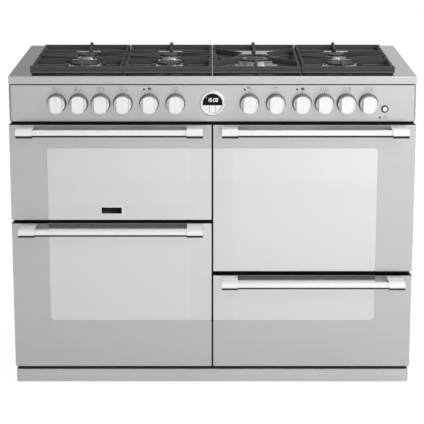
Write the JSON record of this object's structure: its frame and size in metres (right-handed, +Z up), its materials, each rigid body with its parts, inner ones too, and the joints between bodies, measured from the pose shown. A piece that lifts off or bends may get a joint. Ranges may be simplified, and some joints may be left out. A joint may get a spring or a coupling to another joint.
{
  "type": "range cooker",
  "caption": "Freestanding range cooker: steel gas hob with cast pan supports and a wok burner, drop-down glazed oven doors, a row of knobs and a clock",
  "frame": {"origin": "on the floor, at the middle of the overall box", "axes": "+X to the right seen from the front, +Y from the front to the back, +Z up"},
  "size_m": [1.1, 0.6717, 0.906],
  "materials": {
    "brushed_steel": "fine horizontal brushing, satin",
    "side_paint": "smooth satin paint",
    "black_enamel": "glossy vitreous enamel, fine speckle",
    "galvanised": "dull zinc with a faint spangle",
    "chassis_steel": "black enamelled sheet, satin",
    "polished_chrome": "polished, softly brushed along its length",
    "wire_chrome": "bright plated wire",
    "knob_metal": "satin plated, turned",
    "cast_iron": "matt enamelled casting, fine pitting",
    "burner_alloy": "die-cast, fine bead-blasted",
    "burner_enamel": "matt black enamel",
    "element_steel": "heat-darkened tube",
    "gas_brass": "dull turned brass and plain tube",
    "door_glass": "silver-tinted, glossy",
    "seal_rope": "woven rope, matt",
    "black_plastic": "fine moulded grain",
    "white_plastic": "smooth moulded"
  },
  "bodies": {
    "cooker_body": {"chassis": "chassis_steel", "side_panels": "side_paint", "rear_panel": "galvanised", "plinth": "brushed_steel", "levelling_feet": "black_plastic", "hob_top": "brushed_steel", "control_panel": "brushed_steel", "liner_grill_oven": "black_enamel", "liner_main_oven": "black_enamel", "liner_tall_oven": "black_enamel", "liner_slow_oven": "black_enamel", "gas_train": "gas_brass", "timer_and_switch_bodies": "black_plastic", "burner_heads": "burner_alloy", "burner_caps": "burner_enamel", "timer_bezel": "polished_chrome", "fan_covers": "black_enamel", "fan_motors": "galvanised", "heating_elements": "element_steel", "oven_shelves": "wire_chrome", "grill_pan": "black_enamel", "door_seals": "seal_rope"},
    "grill_door": {"skin_grill_door": "brushed_steel", "glass_grill_door": "door_glass", "inner_grill_door": "black_enamel", "handle_grill_door": "polished_chrome"},
    "main_door": {"skin_main_door": "brushed_steel", "glass_main_door": "door_glass", "inner_main_door": "black_enamel", "handle_main_door": "polished_chrome"},
    "tall_door": {"skin_tall_door": "brushed_steel", "glass_tall_door": "door_glass", "inner_tall_door": "black_enamel", "handle_tall_door": "polished_chrome"},
    "slow_door": {"skin_slow_door": "brushed_steel", "glass_slow_door": "door_glass", "inner_slow_door": "black_enamel", "handle_slow_door": "polished_chrome"},
    "support_left_body": {"support_left": "cast_iron"},
    "support_inner_left_body": {"support_inner_left": "cast_iron"},
    "support_wok_body": {"support_wok": "cast_iron"},
    "support_right_body": {"support_right": "cast_iron"},
    "gas_knob_1_body": {"gas_knob_1": "knob_metal"},
    "gas_knob_2_body": {"gas_knob_2": "knob_metal"},
    "gas_knob_3_body": {"gas_knob_3": "knob_metal"},
    "gas_knob_4_body": {"gas_knob_4": "knob_metal"},
    "gas_knob_5_body": {"gas_knob_5": "knob_metal"},
    "gas_knob_6_body": {"gas_knob_6": "knob_metal"},
    "gas_knob_7_body": {"gas_knob_7": "knob_metal"},
    "oven_knob_1_body": {"oven_knob_1": "knob_metal"},
    "oven_knob_2_body": {"oven_knob_2": "knob_metal"},
    "oven_knob_3_body": {"oven_knob_3": "knob_metal"},
    "oven_knob_4_body": {"oven_knob_4": "knob_metal"},
    "oven_knob_5_body": {"oven_knob_5": "knob_metal"},
    "timer_button_left_body": {"timer_button_left": "white_plastic"},
    "timer_button_middle_body": {"timer_button_middle": "white_plastic"},
    "timer_button_right_body": {"timer_button_right": "white_plastic"},
    "ignition_button_body": {"ignition_button": "white_plastic"},
    "fan_main_oven_body": {"fan_main_oven": "galvanised"},
    "fan_tall_oven_body": {"fan_tall_oven": "galvanised"}
  },
  "joints": [
    {"name": "grill_door_hinge", "type": "hinge", "parent": "cooker_body", "child": "grill_door", "pos_m": [-0.27625, -0.26713, 0.501], "axis": [1, 0, 0], "range_deg": [0, 90]},
    {"name": "main_door_hinge", "type": "hinge", "parent": "cooker_body", "child": "main_door", "pos_m": [-0.27625, -0.26713, 0.0796], "axis": [1, 0, 0], "range_deg": [0, 90]},
    {"name": "tall_door_hinge", "type": "hinge", "parent": "cooker_body", "child": "tall_door", "pos_m": [0.27625, -0.26713, 0.3551], "axis": [1, 0, 0], "range_deg": [0, 90]},
    {"name": "slow_door_hinge", "type": "hinge", "parent": "cooker_body", "child": "slow_door", "pos_m": [0.27625, -0.26713, 0.0796], "axis": [1, 0, 0], "range_deg": [0, 90]},
    {"name": "gas_knob_1_turn", "type": "hinge", "parent": "cooker_body", "child": "gas_knob_1_body", "pos_m": [-0.421, -0.27413, 0.8017], "axis": [0, -1, 0], "range_deg": [0, 210]},
    {"name": "gas_knob_2_turn", "type": "hinge", "parent": "cooker_body", "child": "gas_knob_2_body", "pos_m": [-0.362, -0.27413, 0.8017], "axis": [0, -1, 0], "range_deg": [0, 210]},
    {"name": "gas_knob_3_turn", "type": "hinge", "parent": "cooker_body", "child": "gas_knob_3_body", "pos_m": [-0.302, -0.27413, 0.8017], "axis": [0, -1, 0], "range_deg": [0, 210]},
    {"name": "gas_knob_4_turn", "type": "hinge", "parent": "cooker_body", "child": "gas_knob_4_body", "pos_m": [-0.242, -0.27413, 0.8017], "axis": [0, -1, 0], "range_deg": [0, 210]},
    {"name": "gas_knob_5_turn", "type": "hinge", "parent": "cooker_body", "child": "gas_knob_5_body", "pos_m": [0.302, -0.27413, 0.8017], "axis": [0, -1, 0], "range_deg": [0, 210]},
    {"name": "gas_knob_6_turn", "type": "hinge", "parent": "cooker_body", "child": "gas_knob_6_body", "pos_m": [0.362, -0.27413, 0.8017], "axis": [0, -1, 0], "range_deg": [0, 210]},
    {"name": "gas_knob_7_turn", "type": "hinge", "parent": "cooker_body", "child": "gas_knob_7_body", "pos_m": [0.421, -0.27413, 0.8017], "axis": [0, -1, 0], "range_deg": [0, 210]},
    {"name": "oven_knob_1_turn", "type": "hinge", "parent": "cooker_body", "child": "oven_knob_1_body", "pos_m": [-0.171, -0.27413, 0.8017], "axis": [0, 1, 0], "range_deg": [0, 290]},
    {"name": "oven_knob_2_turn", "type": "hinge", "parent": "cooker_body", "child": "oven_knob_2_body", "pos_m": [-0.1, -0.27413, 0.8017], "axis": [0, 1, 0], "range_deg": [0, 290]},
    {"name": "oven_knob_3_turn", "type": "hinge", "parent": "cooker_body", "child": "oven_knob_3_body", "pos_m": [0.1, -0.27413, 0.8017], "axis": [0, 1, 0], "range_deg": [0, 290]},
    {"name": "oven_knob_4_turn", "type": "hinge", "parent": "cooker_body", "child": "oven_knob_4_body", "pos_m": [0.171, -0.27413, 0.8017], "axis": [0, 1, 0], "range_deg": [0, 290]},
    {"name": "oven_knob_5_turn", "type": "hinge", "parent": "cooker_body", "child": "oven_knob_5_body", "pos_m": [0.242, -0.27413, 0.8017], "axis": [0, 1, 0], "range_deg": [0, 290]},
    {"name": "timer_button_left_press", "type": "slide", "parent": "cooker_body", "child": "timer_button_left_body", "axis": [0, 1, 0], "range_m": [0, 0.0012], "stiffness_N_per_m": 400},
    {"name": "timer_button_middle_press", "type": "slide", "parent": "cooker_body", "child": "timer_button_middle_body", "axis": [0, 1, 0], "range_m": [0, 0.0012], "stiffness_N_per_m": 400},
    {"name": "timer_button_right_press", "type": "slide", "parent": "cooker_body", "child": "timer_button_right_body", "axis": [0, 1, 0], "range_m": [0, 0.0012], "stiffness_N_per_m": 400},
    {"name": "ignition_button_press", "type": "slide", "parent": "cooker_body", "child": "ignition_button_body", "axis": [0, 1, 0], "range_m": [0, 0.002], "stiffness_N_per_m": 500},
    {"name": "support_left_lift", "type": "slide", "parent": "cooker_body", "child": "support_left_body", "axis": [0, 0, 1], "range_m": [0, 0.12]},
    {"name": "support_inner_left_lift", "type": "slide", "parent": "cooker_body", "child": "support_inner_left_body", "axis": [0, 0, 1], "range_m": [0, 0.12]},
    {"name": "support_wok_lift", "type": "slide", "parent": "cooker_body", "child": "support_wok_body", "axis": [0, 0, 1], "range_m": [0, 0.12]},
    {"name": "support_right_lift", "type": "slide", "parent": "cooker_body", "child": "support_right_body", "axis": [0, 0, 1], "range_m": [0, 0.12]},
    {"name": "fan_main_oven_spin", "type": "hinge", "parent": "cooker_body", "child": "fan_main_oven_body", "pos_m": [-0.265, 0.16587, 0.27305], "axis": [0, 1, 0], "continuous": true},
    {"name": "fan_tall_oven_spin", "type": "hinge", "parent": "cooker_body", "child": "fan_tall_oven_body", "pos_m": [0.265, 0.16587, 0.54505], "axis": [0, 1, 0], "continuous": true}
  ]
}
